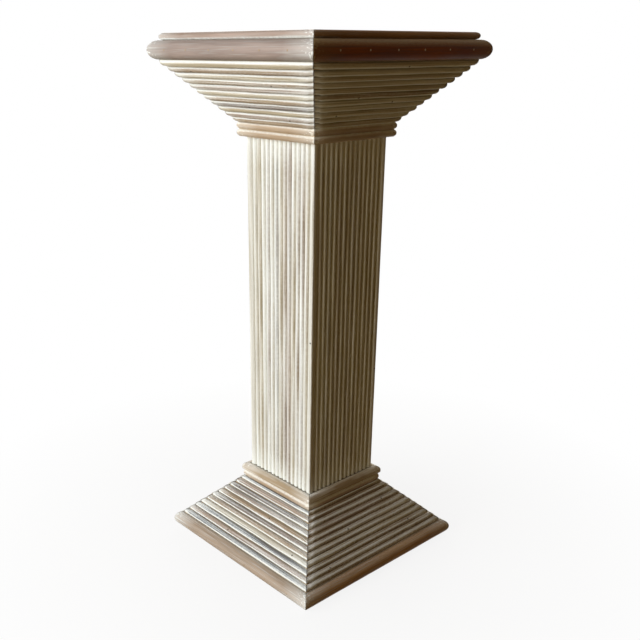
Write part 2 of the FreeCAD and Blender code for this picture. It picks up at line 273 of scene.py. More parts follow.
# %% Strips that run round the column
GRAIN_SHIFT = 0.7                # metres between the grain of one strip and the next
STRIP_GAP = 0.45 * MM
MITRE_GAP = 0.12 * MM
LEVEL_ROWS = 6 * MM
LEVEL_EASING = 0.35 * MM         # what sanding took off the crown at a sawn end
EDGE_WAVE = 0.35                 # longest wave of a border's wander, in metres
CROWN_WAVE = 0.22                # the same for the height of a bow
FADE_POWER = 8                   # high, so that the wander dies out only close to the corner
SANDED_FROM = 3.0 * MM           # the ridge is fully sanded up to here from the corner
SANDED_TO = 13.0 * MM            # and left alone from here on


def run_of(line):
    """Length, downward direction and outward direction of a line down the side."""
    (out, up), (low_out, low_up) = line
    length = math.hypot(low_out - out, low_up - up)
    down = ((low_out - out) / length, (low_up - up) / length)
    return length, down, (-down[1], down[0])


def cut_back(out, up, corner, keep):
    """Points beyond the bevel through a corner, moved square onto it. `keep` points inwards."""
    beyond = np.minimum((out - corner[0]) * keep[0] + (up - corner[1]) * keep[1], 0)
    return out - beyond * keep[0], up - beyond * keep[1]


def level_strips(line, borders, depth, random, stray, bevel=None, sanded=0.0):
    """Tubes of mitred half-round strips between borders on a line down the front.

    A border's place is its even place plus stray times a wander that dies out at the
    corners. A strip spans two borders less a gap, and its bow rises square to the line.
    Near the corners the bow loses the sanded share of its height, where the four sides'
    ridge was sanded down.
    """
    length, down, outward = run_of(line)
    borders = np.asarray(borders, dtype=float)
    strips = borders.size - 1
    reach = max(line[0][0], line[1][0])
    share, inset = rows_along(2 * reach, LEVEL_ROWS)
    place = np.broadcast_to(share * reach, (strips + 1, share.size))
    fade = 1 - share**FADE_POWER
    wandering = wander(random, strips + 1, place, EDGE_WAVE) * stray * fade
    wandering[[0, -1]] = 0
    edges = borders[:, None] + wandering
    middle = (edges[:-1] + edges[1:]) / 2
    half_chord = (edges[1:] - edges[:-1] - STRIP_GAP) / 2 - eased(inset, SIDE_EASING)
    swell = 1 - stray / depth * (1 + wander(random, strips, place[1:], CROWN_WAVE)) / 2
    from_corner = (1 - abs(share)) * reach + inset
    at_ridge = np.clip((SANDED_TO - from_corner) / (SANDED_TO - SANDED_FROM), 0, 1)
    left_over = 1 - sanded * at_ridge**2 * (3 - 2 * at_ridge)
    rise_limit = np.minimum(depth * swell * left_over - eased(inset, LEVEL_EASING), half_chord)
    side, rise, across = bow_and_back(half_chord, rise_limit)
    if strips > 1:
        rise = rise + random.uniform(-1, 1, (strips, 1, 1)) * stray
    fall = middle[..., None] + side
    out = line[0][0] + down[0] * fall + outward[0] * rise
    up = line[0][1] + down[1] * fall + outward[1] * rise
    if bevel:
        out, up = cut_back(out, up, *bevel)
    x = share[:, None] * (out - MITRE_GAP - inset[:, None])
    points = np.stack([x, -out, up], axis=-1)
    shift = np.arange(strips)[:, None, None] * GRAIN_SHIFT
    grain = np.stack([x + shift, fall + rise + shift], axis=-1)
    from_end = np.broadcast_to(from_corner[:, None], x.shape)
    return points, grain, {"across": across, "from_end": from_end}


# %% [markdown]
# The level reeds. The capital carries eleven on each side, the first a little wider than
# the others, the neck two, the foot of the shaft one, and the base eleven, of which the
# highest was ripped narrower to fill what was left. Where two runs meet in an inner
# corner, the last reed of each is planed to the line that halves the corner.

# %% Borders of the level reeds
REED_DEPTH = shaft_face - core_half
CAPITAL_REEDS = 11
NECK_REEDS = 2
CAPITAL_TOP_REED = 11.0 * MM
BASE_REED_PITCH = 9.7 * MM
capital_length = run_of(CAPITAL_LINE)[0]
capital_borders = np.append(0, np.linspace(CAPITAL_TOP_REED, capital_length, CAPITAL_REEDS))
base_length = run_of(BASE_LINE)[0]
base_count = math.ceil(base_length / BASE_REED_PITCH)
base_borders = base_length - BASE_REED_PITCH * np.arange(base_count, -1, -1)
neck_borders = np.linspace(0, run_of(NECK_LINE)[0], NECK_REEDS + 1)
foot_borders = np.array([0, run_of(FOOT_LINE)[0]])
print("capital reeds", capital_borders.size - 1, "base reeds", base_count)


def halving(corner, first, second, keep_side):
    """Bevel through a corner: the normal of the halving line, on the side that is kept."""
    along = np.array([first[0] + second[0], first[1] + second[1]])
    normal = np.array([-along[1], along[0]]) / np.hypot(*along)
    if normal @ np.array(keep_side) < 0:
        normal = -normal
    return corner, normal


capital_outward = run_of(CAPITAL_LINE)[2]
base_outward = run_of(BASE_LINE)[2]
bevel_above_neck = halving(CAPITAL_LINE[1], capital_outward, (1, 0), (0, 1))
bevel_below_capital = halving(CAPITAL_LINE[1], capital_outward, (1, 0), (0, -1))
bevel_above_base = halving(BASE_LINE[0], base_outward, (1, 0), (0, 1))
bevel_below_foot = halving(BASE_LINE[0], base_outward, (1, 0), (0, -1))

# %% [markdown]
# The upright reeds of the shaft stand side by side in the same way, with wandering
# borders. The outer reed on each side of the shaft is different: it is flat up to the
# corner, where it was mitred against its neighbour and rounded over.

# %% Upright reeds
SHAFT_REEDS = 15
CORNER_REED_WIDTH = 10.3 * MM
CORNER_ROUND = 1.5 * MM
CORNER_BOW_POINTS, CORNER_FLAT_POINTS, CORNER_ROUND_POINTS = 7, 4, 5
CORNER_GRAIN = 20 * GRAIN_SHIFT  # past the grain of the plain reeds
UPRIGHT_STRAY = 0.35 * MM
UPRIGHT_ROWS = 9 * MM
UPRIGHT_EASING = 0.4 * MM
UPRIGHT_EDGE_WAVE = 0.5
UPRIGHT_CROWN_WAVE = 0.3
UPRIGHT_SWELL = 0.94             # the bow's height as a share of the full depth,
UPRIGHT_SWING = 0.05             # and how much it swings about that
CORNER_WEAR = 0.12 * MM
CORNER_WAVE = 0.4
inner_edge = shaft_face - CORNER_REED_WIDTH
shaft_length = neck_bottom - reed_foot


def upright_rows():
    """Heights of the rows of an upright reed and their distance from the nearer end."""
    share, inset = rows_along(shaft_length, UPRIGHT_ROWS)
    half = shaft_length / 2
    height = reed_foot + half + share * (half - inset)
    return height, np.minimum(height - reed_foot, neck_bottom - height)


def plain_uprights(random):
    """Tubes of the reeds between the corner reeds. Borders run upright and wander sideways."""
    height, from_end = upright_rows()
    strips = SHAFT_REEDS - 2
    place = np.broadcast_to(height, (strips + 1, height.size))
    stray = wander(random, strips + 1, place, UPRIGHT_EDGE_WAVE) * UPRIGHT_STRAY
    stray[[0, -1]] = 0
    edges = np.linspace(-inner_edge, inner_edge, strips + 1)[:, None] + stray
    half_chord = (edges[1:] - edges[:-1] - STRIP_GAP) / 2 - eased(from_end, SIDE_EASING)
    swell = UPRIGHT_SWELL + UPRIGHT_SWING * wander(random, strips, place[1:], UPRIGHT_CROWN_WAVE)
    depth = np.minimum(REED_DEPTH * swell, half_chord) - eased(from_end, UPRIGHT_EASING)
    side, rise, across = bow_and_back(half_chord, depth)
    x = ((edges[:-1] + edges[1:]) / 2)[..., None] + side
    upright = np.broadcast_to(height[:, None], x.shape)
    points = np.stack([x, -(core_half + rise), upright], axis=-1)
    shift = np.arange(strips)[:, None, None] * GRAIN_SHIFT
    grain = np.stack([upright + shift, x + rise + shift], axis=-1)
    ends = np.broadcast_to(from_end[:, None], x.shape)
    return points, grain, {"across": across, "from_end": ends}


def corner_section():
    """Section of the right corner reed: bow up to the crown, flat, round over, mitre, back."""
    groove = inner_edge + STRIP_GAP / 2
    half = CORNER_REED_WIDTH / 2
    radius = (half**2 + REED_DEPTH**2) / (2 * REED_DEPTH)
    angle = np.linspace(-math.asin(min(half / radius, 1)), 0, CORNER_BOW_POINTS)
    bow_x = groove + half + radius * np.sin(angle)
    bow_out = shaft_face - radius + radius * np.cos(angle)
    centre = shaft_face - CORNER_ROUND
    turn = np.linspace(0, math.pi / 4, CORNER_ROUND_POINTS)
    round_x = centre + CORNER_ROUND * np.sin(turn) - MITRE_GAP
    round_out = centre + CORNER_ROUND * np.cos(turn)
    flat_x = np.linspace(bow_x[-1], round_x[0], CORNER_FLAT_POINTS)[1:-1]
    front_x = np.concatenate([bow_x, flat_x, round_x])
    front_out = np.concatenate([bow_out, np.full(flat_x.size, shaft_face), round_out])
    back_x = np.linspace(core_half - MITRE_GAP, groove, front_x.size)[:-2]
    return np.append(front_x, back_x), np.append(front_out, np.full(back_x.size, core_half))


def corner_uprights(random):
    """Tubes of the two corner reeds. The left one is the mirror image of the right one."""
    height, from_end = upright_rows()
    section_x, section_out = corner_section()
    thin = CORNER_WEAR * (1 + wander(random, 1, height[None, :], CORNER_WAVE))
    grow = (section_out - core_half) / REED_DEPTH
    out = section_out - grow * (thin[0][:, None] + eased(from_end, UPRIGHT_EASING)[:, None])
    x = np.minimum(section_x, out - MITRE_GAP)
    upright = np.broadcast_to(height[:, None], x.shape)
    right = np.stack([x, -out, upright], axis=-1)
    left = right[:, ::-1] * np.array([-1, 1, 1])
    grain = np.stack([upright + CORNER_GRAIN, x + out], axis=-1)
    points = np.stack([left, right])
    grains = np.stack([grain[:, ::-1] + CORNER_GRAIN, grain])
    ends = np.broadcast_to(from_end[:, None], points.shape[:3])
    bow = np.clip((section_x - inner_edge) / (CORNER_REED_WIDTH / 2) - 1, -1, 0)
    return points, grains, {"across": np.stack([bow[::-1], bow])[:, None, :], "from_end": ends}


print("upright reeds on each side", SHAFT_REEDS, "length", round(shaft_length, 4))

# %% [markdown]
# Under the shaft's reeds runs a rounded cap, shaped with a plane: a low dome on top that
# the reeds' feet stand against, a well rounded shoulder and a small round below. Its
# section is a closed list of arcs and straights, carried round the column with mitres.

# %% The cap at the foot of the shaft
CAP_TOP_ROUND = 7.0 * MM
CAP_BOTTOM_ROUND = 2.5 * MM
CAP_STEPS = 9
CAP_ROWS = 5 * MM
CAP_WEAR = 0.12 * MM
CAP_WAVE = 0.15
CAP_EASING = 0.3 * MM


def arc_points(centre, radius, start, stop, count):
    """Points of an arc: centre plus radius times cosine and sine of evenly spaced angles."""
    angle = np.radians(np.linspace(start, stop, count))
    return centre[0] + radius * np.cos(angle), centre[1] + radius * np.sin(angle)


def cap_section():
    """Outer face of the cap from the reeds' feet to its underside, then home along the back."""
    slope = np.linspace(0, 1, CAP_STEPS)
    summit = collar_crown - CAP_TOP_ROUND
    dome_out = shaft_face + (summit - shaft_face) * slope
    dome_up = reed_foot + (cap_top - reed_foot) * np.sin(slope * math.pi / 2)
    top_out, top_up = arc_points((summit, cap_top - CAP_TOP_ROUND), CAP_TOP_ROUND, 90, 0, CAP_STEPS)
    hip = (collar_crown - CAP_BOTTOM_ROUND, cap_bottom + CAP_BOTTOM_ROUND)
    low_out, low_up = arc_points(hip, CAP_BOTTOM_ROUND, 0, -90, CAP_STEPS)
    out = np.concatenate([[core_half], dome_out, top_out[1:], low_out])
    up = np.concatenate([[reed_foot], dome_up, top_up[1:], low_up])
    back_count = out.size - 2
    below = back_count // 2
    behind = back_count - below
    back_out = np.append(np.linspace(low_out[-1], core_half, below + 1)[1:], np.full(behind, core_half))
    back_up = np.append(np.full(below, cap_bottom), np.linspace(cap_bottom, reed_foot, behind + 2)[1:-1])
    return np.append(out, back_out), np.append(up, back_up)


def cap_strip(random):
    """Tube of the cap along the front: its section carried between the mitres, thinned a hair.

    Its place across runs from -1 at the reeds' feet to 1 at the underside, by distance.
    """
    section_out, section_up = cap_section()
    share, inset = rows_along(2 * collar_crown, CAP_ROWS)
    worn = CAP_WEAR * (1 + wander(random, 1, share[None, :] * collar_crown, CAP_WAVE))[0]
    proud = np.clip((section_out - core_half) / (collar_crown - core_half), 0, 1)
    out = section_out - proud * (worn[:, None] + eased(inset, CAP_EASING)[:, None])
    up = np.broadcast_to(section_up, out.shape)
    x = share[:, None] * (out - MITRE_GAP - inset[:, None])
    points = np.stack([x, -out, up], axis=-1)[None]
    grain = np.stack([x, out + up], axis=-1)[None]
    from_end = np.broadcast_to(((1 - abs(share)) * collar_crown + inset)[:, None], x.shape)[None]
    walked = np.append(0, np.cumsum(np.hypot(np.diff(section_out), np.diff(section_up))))
    reeds_foot, underside = walked[1], walked[section_out.size // 2]
    across = np.clip(2 * (walked - reeds_foot) / (underside - reeds_foot) - 1, -1, 1)
    return points, grain, {"across": across, "from_end": from_end}


print("cap section points", cap_section()[0].size)

# %% [markdown]
# The putty over each brad in the rails, and the heads of the pins that hold the reeds,
# are small shallow discs. They lie on the crown of the strip, a few hundredths of a
# millimetre proud, so that they show as they do on the real piece.

# %% Dots on the crowns
DOT_SPOKES = 14
DOT_PROUD = 0.05 * MM
WELD = 1e-6                      # metres
DOT_RINGS = ((0.0, 1.0), (0.6, 0.8), (1.0, 0.0), (1.0, -6.0), (0.0, -6.0))


def merge_poles(mesh):
    """Welds the rings that have shrunk to a pole into one point each."""
    work = bmesh.new()
    work.from_mesh(mesh)
    bmesh.ops.remove_doubles(work, verts=work.verts, dist=WELD)
    bmesh.ops.dissolve_degenerate(work, edges=work.edges, dist=WELD / 10)
    work.to_mesh(mesh)
    work.free()


def dots_piece(name, spots, radius):
    """Shallow domes: rings of points at shares of the radius, rising to a pole, closed below.

    DOT_RINGS gives each ring's share of the radius and its rise, counted in DOT_PROUD.
    A spot is a dome's centre and the outward direction that it stands on. Its plane is
    spanned by the level direction square to that and by the cross product of the two.
    """
    centres, outwards = (np.array(part) for part in zip(*spots))
    level = np.stack([-outwards[:, 1], outwards[:, 0], np.zeros(len(outwards))], axis=-1)
    level /= np.linalg.norm(level, axis=-1, keepdims=True)
    upright = np.cross(outwards, level)
    angle = np.linspace(0, 2 * math.pi, DOT_SPOKES, endpoint=False)
    ring = np.cos(angle)[:, None] * level[:, None] + np.sin(angle)[:, None] * upright[:, None]
    loops = [ring * radius * share + outwards[:, None] * DOT_PROUD * rise for share, rise in DOT_RINGS]
    points = centres[:, None, None, :] + np.stack(loops, axis=1)
    faces = wall_faces(*points.shape[:3])[:, [0, 3, 2, 1]]
    flat = points.reshape(-1, 3)
    if enclosed_volume(flat, faces) < 0:
        faces = faces[:, ::-1]
    mesh = bpy.data.meshes.new(name)
    mesh.from_pydata(flat.tolist(), [], faces.tolist())
    merge_poles(mesh)
    mesh.shade_smooth()
    print(name, "dots", len(spots))
    return into_scene(name, mesh)


# %% [markdown]
# Colours are written as the hex values that a painter would match by eye, which are
# display values. Light adds up in linear values, so one function converts them: below
# about 0.04 a straight line, above it a power of 2.4. A second function adds a node with
# its settings and links, and every material below is built with it. Four more hold the
# steps that the recipes share: patterns stretched along the grain, shares put together
# one after another, coats of colour, and the shader at the end.

# %% Colour and node helpers
FACTOR, FIRST, SECOND, MIXED = 0, 6, 7, 2      # a Mix node's sockets when it mixes colours
NOISE_SPAN = (0.3, 0.7)          # nearly all values of a noise lie between these
NOISE_MIDDLE = (0.35, 0.65)      # and most between these


def linear(hex_code):
    """Display colour #rrggbb as linear red, green, blue and full opacity."""
    shown = np.array([int(hex_code[place : place + 2], 16) for place in (1, 3, 5)]) / 255
    light = np.where(shown <= 0.04045, shown / 12.92, ((shown + 0.055) / 1.055) ** 2.4)
    return (*light.tolist(), 1.0)


def add(tree, kind, inputs=(), **settings):
    """A new node: settings are its own fields, inputs are values or sockets, by name or in order."""
    node = tree.nodes.new(kind)
    for key, value in settings.items():
        setattr(node, key, value)
    for key, value in inputs.items() if isinstance(inputs, dict) else enumerate(inputs):
        if isinstance(value, bpy.types.NodeSocket):
            tree.links.new(value, node.inputs[key])
        else:
            node.inputs[key].default_value = value
    return node


def new_material(name):
    """Material with an empty node tree, and the tree."""
    material = bpy.data.materials.new(name)
    material.use_nodes = True
    material.node_tree.nodes.clear()
    return material, material.node_tree


def along_grain(tree, patterns):
    """Noise on the strip's own map, one for each pattern of (length, width, detail, roughness).

    The map is in metres and is divided by the length and the width of the pattern.
    """
    grain = add(tree, "ShaderNodeUVMap", uv_map="grain").outputs["UV"]
    noises = []
    for length, width, detail, rough in patterns:
        placed = add(tree, "ShaderNodeMapping", {"Vector": grain, "Scale": (1 / length, 1 / width, 1.0)})
        settings = {"Vector": placed.outputs["Vector"], "Scale": 1.0, "Detail": detail, "Roughness": rough}
        noises.append(add(tree, "ShaderNodeTexNoise", settings).outputs["Fac"])
    return noises


def combined(tree, total, shares, operation="ADD"):
    """Puts shares together with a value, one after another.

    A share is (value, from, to, start, stop): it runs from start to stop as the value
    goes from one limit to the other, and stays there beyond them.
    """
    for share in shares:
        more = add(tree, "ShaderNodeMapRange", share).outputs[0]
        total = add(tree, "ShaderNodeMath", [total, more], operation=operation).outputs[0]
    return total


def coated(tree, colour, coats):
    """Lays coats over a colour. A coat is how much it covers, and its own hex colour."""
    for cover, coat in coats:
        layers = {FACTOR: cover, FIRST: colour, SECOND: linear(coat)}
        colour = add(tree, "ShaderNodeMix", layers, data_type="RGBA").outputs[MIXED]
    return colour


def end_with_shader(tree, inputs, unevenness=None):
    """The shader with its inputs. Unevenness is the height, strength and depth of a bump."""
    if unevenness:
        bump = add(tree, "ShaderNodeBump", dict(zip(("Height", "Strength", "Distance"), unevenness)))
        inputs = {**inputs, "Normal": bump.outputs["Normal"]}
    surface = add(tree, "ShaderNodeBsdfPrincipled", inputs)
    add(tree, "ShaderNodeOutputMaterial", {"Surface": surface.outputs["BSDF"]})


# %% [markdown]
# Limed reed is split rattan core: straight, stringy fibre with no rings or knots. It was
# stained, brushed with white liming paste, and wiped. The paste stays in the pores as
# fine streaks along the reed, thicker near the corners, where the rag doesn't reach, and
# in a pale line along each reed, mostly at one groove, which is partly paste and partly a
# painted highlight. The grooves are darkened, partly by soiling and partly by painted
# shade. A thin satin lacquer covers it. Each reed took the stain differently, so
# neighbours are cream, tan, rosy or grey-blue.

# %% Limed reed
STREAK_LENGTH = 160 * MM
STREAK_WIDTH = 1.6 * MM          # real fibres are 0.2 mm wide, drawn coarser to show at all
PATCH_LENGTH = 240 * MM
PATCH_WIDTH = 9 * MM
CRUST_LENGTH = 5 * MM
CRUST_WIDTH = 1.3 * MM
FIBRE_BUMP = (0.4, 0.15 * MM)    # strength and depth
FIBRE_SHADES = (0.68, 1.12)      # the darkest and lightest fibre, as shares of the tint
STREAK_LIME = (0.37, 0.63, -0.26, 0.3)      # between two noise values, from less lime to more
MITRE_LIME = 0.4
GROOVE_BOTTOM = 0.96             # place across the bow where the groove is darkest
REED_JOINT = 1.5 * MM            # reach of the dirt that a mitre holds
REED_JOINT_DIRT = 0.9
REED_ROUGHNESS = (0.68, 0.5)     # from stained to limed fibre
REED_TINTS = {
    "cream": "#dad2be",
    "straw": "#c6b799",
    "tan": "#ab957a",
    "rose": "#b5a292",
    "mauve": "#978c82",
    "slate": "#83878a",
}
TINT_PLACES = {tint: place / (len(REED_TINTS) - 1) for place, tint in enumerate(REED_TINTS)}
TINT_DRIFT = 0.12                # how far a reed's tint drifts along it, on that scale
LIME = "#f4f5ee"
# dark colour laid in the grooves: partly soiling, partly painted shade
GROOVE_DIRT_AND_SHADE = "#4b423b"
LACQUER = {"IOR": 1.5, "Specular IOR Level": 0.04}      # satin: rubbed down, so little shine


def reed_stain(tree, tint, patches, streaks):
    """The strip's own tint, drifting along it in patches, times the light and dark of its fibre."""
    drifting = combined(tree, tint, [(patches, *NOISE_SPAN, -TINT_DRIFT, TINT_DRIFT)])
    ramp = add(tree, "ShaderNodeValToRGB", [drifting])
    while len(ramp.color_ramp.elements) < len(REED_TINTS):
        ramp.color_ramp.elements.new(0.5)
    for element, (kept, colour) in zip(ramp.color_ramp.elements, REED_TINTS.items()):
        element.position = TINT_PLACES[kept]
        element.color = linear(colour)
    fibre = add(tree, "ShaderNodeMapRange", [streaks, *NOISE_SPAN, *FIBRE_SHADES]).outputs[0]
    layers = {FACTOR: 1.0, FIRST: ramp.outputs["Color"], SECOND: fibre}
    return add(tree, "ShaderNodeMix", layers, data_type="RGBA", blend_type="MULTIPLY").outputs[MIXED]


def limed_reed(
    name, lime_amount, lime_spread, own_spread, end_reach, line_reach, line_lime_and_highlight, groove_from, groove_share,
    crust,
):
    """Streaky stain in the strip's own tint, under wiped lime, under satin lacquer.

    The amount of lime varies by lime_spread in patches, by own_spread from reed to reed
    and by crust in crumbs, and it rises within end_reach of the mitres. A thick pale line
    lies where the strip's attribute paste_at says, full up to the first line_reach from
    there and gone at the second: partly lime paste, partly a painted highlight on the part
    of the reed that faces the light. The grooves darken from groove_from across the bow
    outwards, groove_share strong, but not through the pale line: partly soiling, partly
    painted shade.
    """
    material, tree = new_material(name)
    tint, across, from_end, wash, paste_at = (
        add(tree, "ShaderNodeAttribute", attribute_name=kept).outputs["Fac"]
        for kept in ("tint", "across", "from_end", "wash", "paste_at")
    )
    streaks, patches, crumbs = along_grain(tree, (
        (STREAK_LENGTH, STREAK_WIDTH, 3.0, 0.5),
        (PATCH_LENGTH, PATCH_WIDTH, 3.0, 0.5),
        (CRUST_LENGTH, CRUST_WIDTH, 3.0, 0.7),
    ))
    stain = reed_stain(tree, tint, patches, streaks)

    # The pale line: partly lime paste, partly a painted highlight on the part of each reed that faces the light.
    offset = add(tree, "ShaderNodeMath", [across, paste_at], operation="SUBTRACT").outputs[0]
    apart = add(tree, "ShaderNodeMath", [offset], operation="ABSOLUTE").outputs[0]
    line = add(tree, "ShaderNodeMapRange", [apart, *line_reach, 1.0, 0.0]).outputs[0]
    line_paste_and_highlight = add(tree, "ShaderNodeMapRange", [line, 0.0, 1.0, 0.0, line_lime_and_highlight]).outputs[0]
    lime = combined(tree, line_paste_and_highlight, [
        (patches, *NOISE_MIDDLE, lime_amount - lime_spread, lime_amount + lime_spread),
        (wash, -1.0, 1.0, -own_spread, own_spread),
        (from_end, 0.0, end_reach, MITRE_LIME, 0.0),
        (streaks, *STREAK_LIME),
        (crumbs, *NOISE_MIDDLE, -crust, crust),
    ])

    # The grooves and the flanks beside them are darkened: partly soiling, partly painted shade.
    edge = add(tree, "ShaderNodeMath", [across], operation="ABSOLUTE").outputs[0]
    in_groove = add(tree, "ShaderNodeMapRange", [edge, groove_from, GROOVE_BOTTOM, 0.0, groove_share]).outputs[0]
    kept_out = [(streaks, 0.4, 0.62, 1.0, 0.35), (line, 0.0, 1.0, 1.0, 0.05)]
    groove_shade_and_dirt = combined(tree, in_groove, kept_out, "MULTIPLY")
    dirt_and_shade = combined(tree, groove_shade_and_dirt, [(from_end, 0.0, REED_JOINT, REED_JOINT_DIRT, 0.0)])
    colour = coated(tree, stain, [(lime, LIME), (dirt_and_shade, GROOVE_DIRT_AND_SHADE)])
    sheen = add(tree, "ShaderNodeMapRange", [streaks, *NOISE_SPAN, *REED_ROUGHNESS]).outputs[0]
    height = add(tree, "ShaderNodeMath", [streaks, crumbs], operation="ADD").outputs[0]
    end_with_shader(tree, {"Base Color": colour, "Roughness": sheen, **LACQUER}, (height, *FIBRE_BUMP))
    return material


# groove_from and groove_share set the darkening in the grooves, partly painted shade; on the capital it reaches
# well up both flanks.
shaft_reed_finish = limed_reed(
    "limed_reed_shaft", lime_amount=0.42, lime_spread=0.16, own_spread=0.2, end_reach=40 * MM,
    line_reach=(1.1, 1.6), line_lime_and_highlight=0.28, groove_from=0.8, groove_share=0.32, crust=0.08,
)
capital_reed_finish = limed_reed(
    "limed_reed_capital", lime_amount=0.05, lime_spread=0.16, own_spread=0.16, end_reach=50 * MM,
    line_reach=(0.2, 0.44), line_lime_and_highlight=1.2, groove_from=0.58, groove_share=0.95, crust=0.15,
)
base_reed_finish = limed_reed(
    "limed_reed_base", lime_amount=0.12, lime_spread=0.22, own_spread=0.18, end_reach=50 * MM,
    line_reach=(0.09, 0.27), line_lime_and_highlight=1.1, groove_from=0.66, groove_share=0.6, crust=0.2,
)
print("tints", list(REED_TINTS))

# %% [markdown]
# The rails, the trim, the cap and the neck's reeds are stained darker and wiped cleaner:
# rosy brown wood with lime only in its grain, in nicks along the edges and at the
# mitres. One recipe serves them, with its own two stain colours and its share of lime.
# The rails and the trim on the right side get a darker, more saturated copy of their
# finish, which is painted shade of that side, and the right side's rails a paler upper
# flank, which is a painted highlight.

# %% Stained and wiped wood
GRAIN_LENGTH = 70 * MM
GRAIN_WIDTH = 1.8 * MM
NICK_SIZE = 2.5 * MM
GRAIN_BUMP = (0.3, 0.1 * MM)
MOTTLE_SPAN = (0.75, 1.25)       # of the fine and the broad noise added up
# the pale flank is lime, and on the right side's rails a painted highlight
FLANK = (0.15, 0.5)              # where across the bow the limed flank begins and is full
WASH_REACH = 50 * MM
FLECK_REACH = 35 * MM
RAIL_JOINT = 1.2 * MM
RAIL_JOINT_DIRT = 0.8
RAIL_ROUGHNESS = (0.52, 0.4)
# dark colour of the lower flank, the grooves and the mitres: painted shade, with soiling in the grooves and
# mitres
GRIME_AND_SHADE = "#6b6450"


def wiped_wood(
    name, light_stain, dark_stain, lime_amount, pale_flank=0, flank_lime_and_highlight=0.0, lower_flank_shade=0.0, end_wash=0.35,
    lime_and_highlight_colour=LIME,
):
    """Two stain colours in long grain, lime in pores, nicks and mitres, satin lacquer.

    The flank that pale_flank names, -1 for the upper and 1 for the lower one, is paler
    by flank_lime_and_highlight: lime that the rag left there, and on the right side's rails a painted
    highlight. There is end_wash more lime at the mitres. The lower flank is darker by
    grime, which is painted shade, and the grooves are darker, partly soiling and partly
    painted shade; the mitres are soiled. The pale coat has the colour lime_and_highlight_colour: paste
    that the stain has bled into, and on the right side's top rail the colour of the
    painted highlight.
    """
    material, tree = new_material(name)
    across, from_end = (
        add(tree, "ShaderNodeAttribute", attribute_name=kept).outputs["Fac"]
        for kept in ("across", "from_end")
    )
    fine, broad, nicks = along_grain(tree, (
        (GRAIN_LENGTH, GRAIN_WIDTH, 4.0, 0.5),
        (2 * GRAIN_LENGTH, 5 * GRAIN_WIDTH, 2.0, 0.5),
        (2 * NICK_SIZE, NICK_SIZE, 5.0, 0.7),
    ))
    mottled = add(tree, "ShaderNodeMath", [fine, broad], operation="ADD").outputs[0]
    darker = add(tree, "ShaderNodeMapRange", [mottled, *MOTTLE_SPAN]).outputs[0]

    toward = add(tree, "ShaderNodeMath", [across, pale_flank], operation="MULTIPLY").outputs[0]
    whole_flank = add(tree, "ShaderNodeMapRange", [toward, *FLANK, 0.0, flank_lime_and_highlight]).outputs[0]
    on_flank = combined(tree, whole_flank, [(nicks, 0.35, 0.6, 0.55, 1.0)], "MULTIPLY")
    flecks = combined(tree, nicks, [(from_end, 0.0, FLECK_REACH, 0.2, 0.0)])
    lime = combined(tree, on_flank, [
        (fine, 0.5, 0.72, 0.0, lime_amount),
        (flecks, 0.7, 0.76, 0.0, 2 * end_wash),
        (from_end, 0.0, WASH_REACH, end_wash, 0.0),
    ])

    # Painted shade: the lower flank and the grooves are darkened, the grooves partly by soiling; the mitres are
    # soiled.
    edge = add(tree, "ShaderNodeMath", [across], operation="ABSOLUTE").outputs[0]
    in_groove = add(tree, "ShaderNodeMapRange", [edge, 0.86, 0.98, 0.0, 0.5]).outputs[0]
    shade_and_joint = [(across, 0.3, 0.85, 0.0, lower_flank_shade), (from_end, 0.0, RAIL_JOINT, RAIL_JOINT_DIRT, 0.0)]
    dirt_and_shade = combined(tree, in_groove, shade_and_joint)
    colour = coated(tree, linear(light_stain), [(darker, dark_stain), (lime, lime_and_highlight_colour), (dirt_and_shade, GRIME_AND_SHADE)])
    sheen = add(tree, "ShaderNodeMapRange", [fine, *NOISE_SPAN, *RAIL_ROUGHNESS]).outputs[0]
    end_with_shader(tree, {"Base Color": colour, "Roughness": sheen, **LACQUER}, (fine, *GRAIN_BUMP))
    return material


# grime sets how much painted shade darkens a rail's lower flank
top_rail_finish = wiped_wood("wiped_rail_top", "#b09e93", "#8c7c72", 0.3, lower_flank_shade=0.4)
# the right side's copy of the top rail, darker and redder: painted shade of that side; its paler upper flank is
# a painted highlight
shaded_side_rail_finish = wiped_wood(
    "wiped_rail_top_painted_shade", "#884614", "#5c2a08", 0.05, pale_flank=-1, flank_lime_and_highlight=0.55, lower_flank_shade=0.3,
    end_wash=0.2, lime_and_highlight_colour="#b39c6c",
)
base_rail_finish = wiped_wood("wiped_rail_base", "#b8a48f", "#97836e", 0.5, lower_flank_shade=0.2, end_wash=0.5)
# the right side's copy of the base rail, warmer and more saturated: painted shade of that side; its paler upper
# flank is a painted highlight
shaded_side_base_rail_finish = wiped_wood(
    "wiped_rail_base_painted_shade", "#c4965c", "#9e703e", 0.35, pale_flank=-1, flank_lime_and_highlight=0.22, end_wash=0.3
)
trim_finish = wiped_wood("wiped_trim", "#b8a294", "#998474", 0.3, pale_flank=1, flank_lime_and_highlight=0.95)
# the right side's copy of the trim, warmer and more saturated: painted shade of that side
shaded_side_trim_finish = wiped_wood("wiped_trim_painted_shade", "#b88c5e", "#8a6440", 0.15, end_wash=0.1)
cap_finish = wiped_wood(
    "wiped_cap", "#bda88a", "#a08a6c", 0.55, pale_flank=-1, flank_lime_and_highlight=0.6, end_wash=0.45, lime_and_highlight_colour="#f3eee2"
)
neck_finish = wiped_wood(
    "wiped_neck", "#bfa88d", "#a68c6e", 0.25, pale_flank=-1, flank_lime_and_highlight=0.95, lime_and_highlight_colour="#f5f0e2"
)
print("wiped finishes", sum(material.name.startswith("wiped") for material in bpy.data.materials))

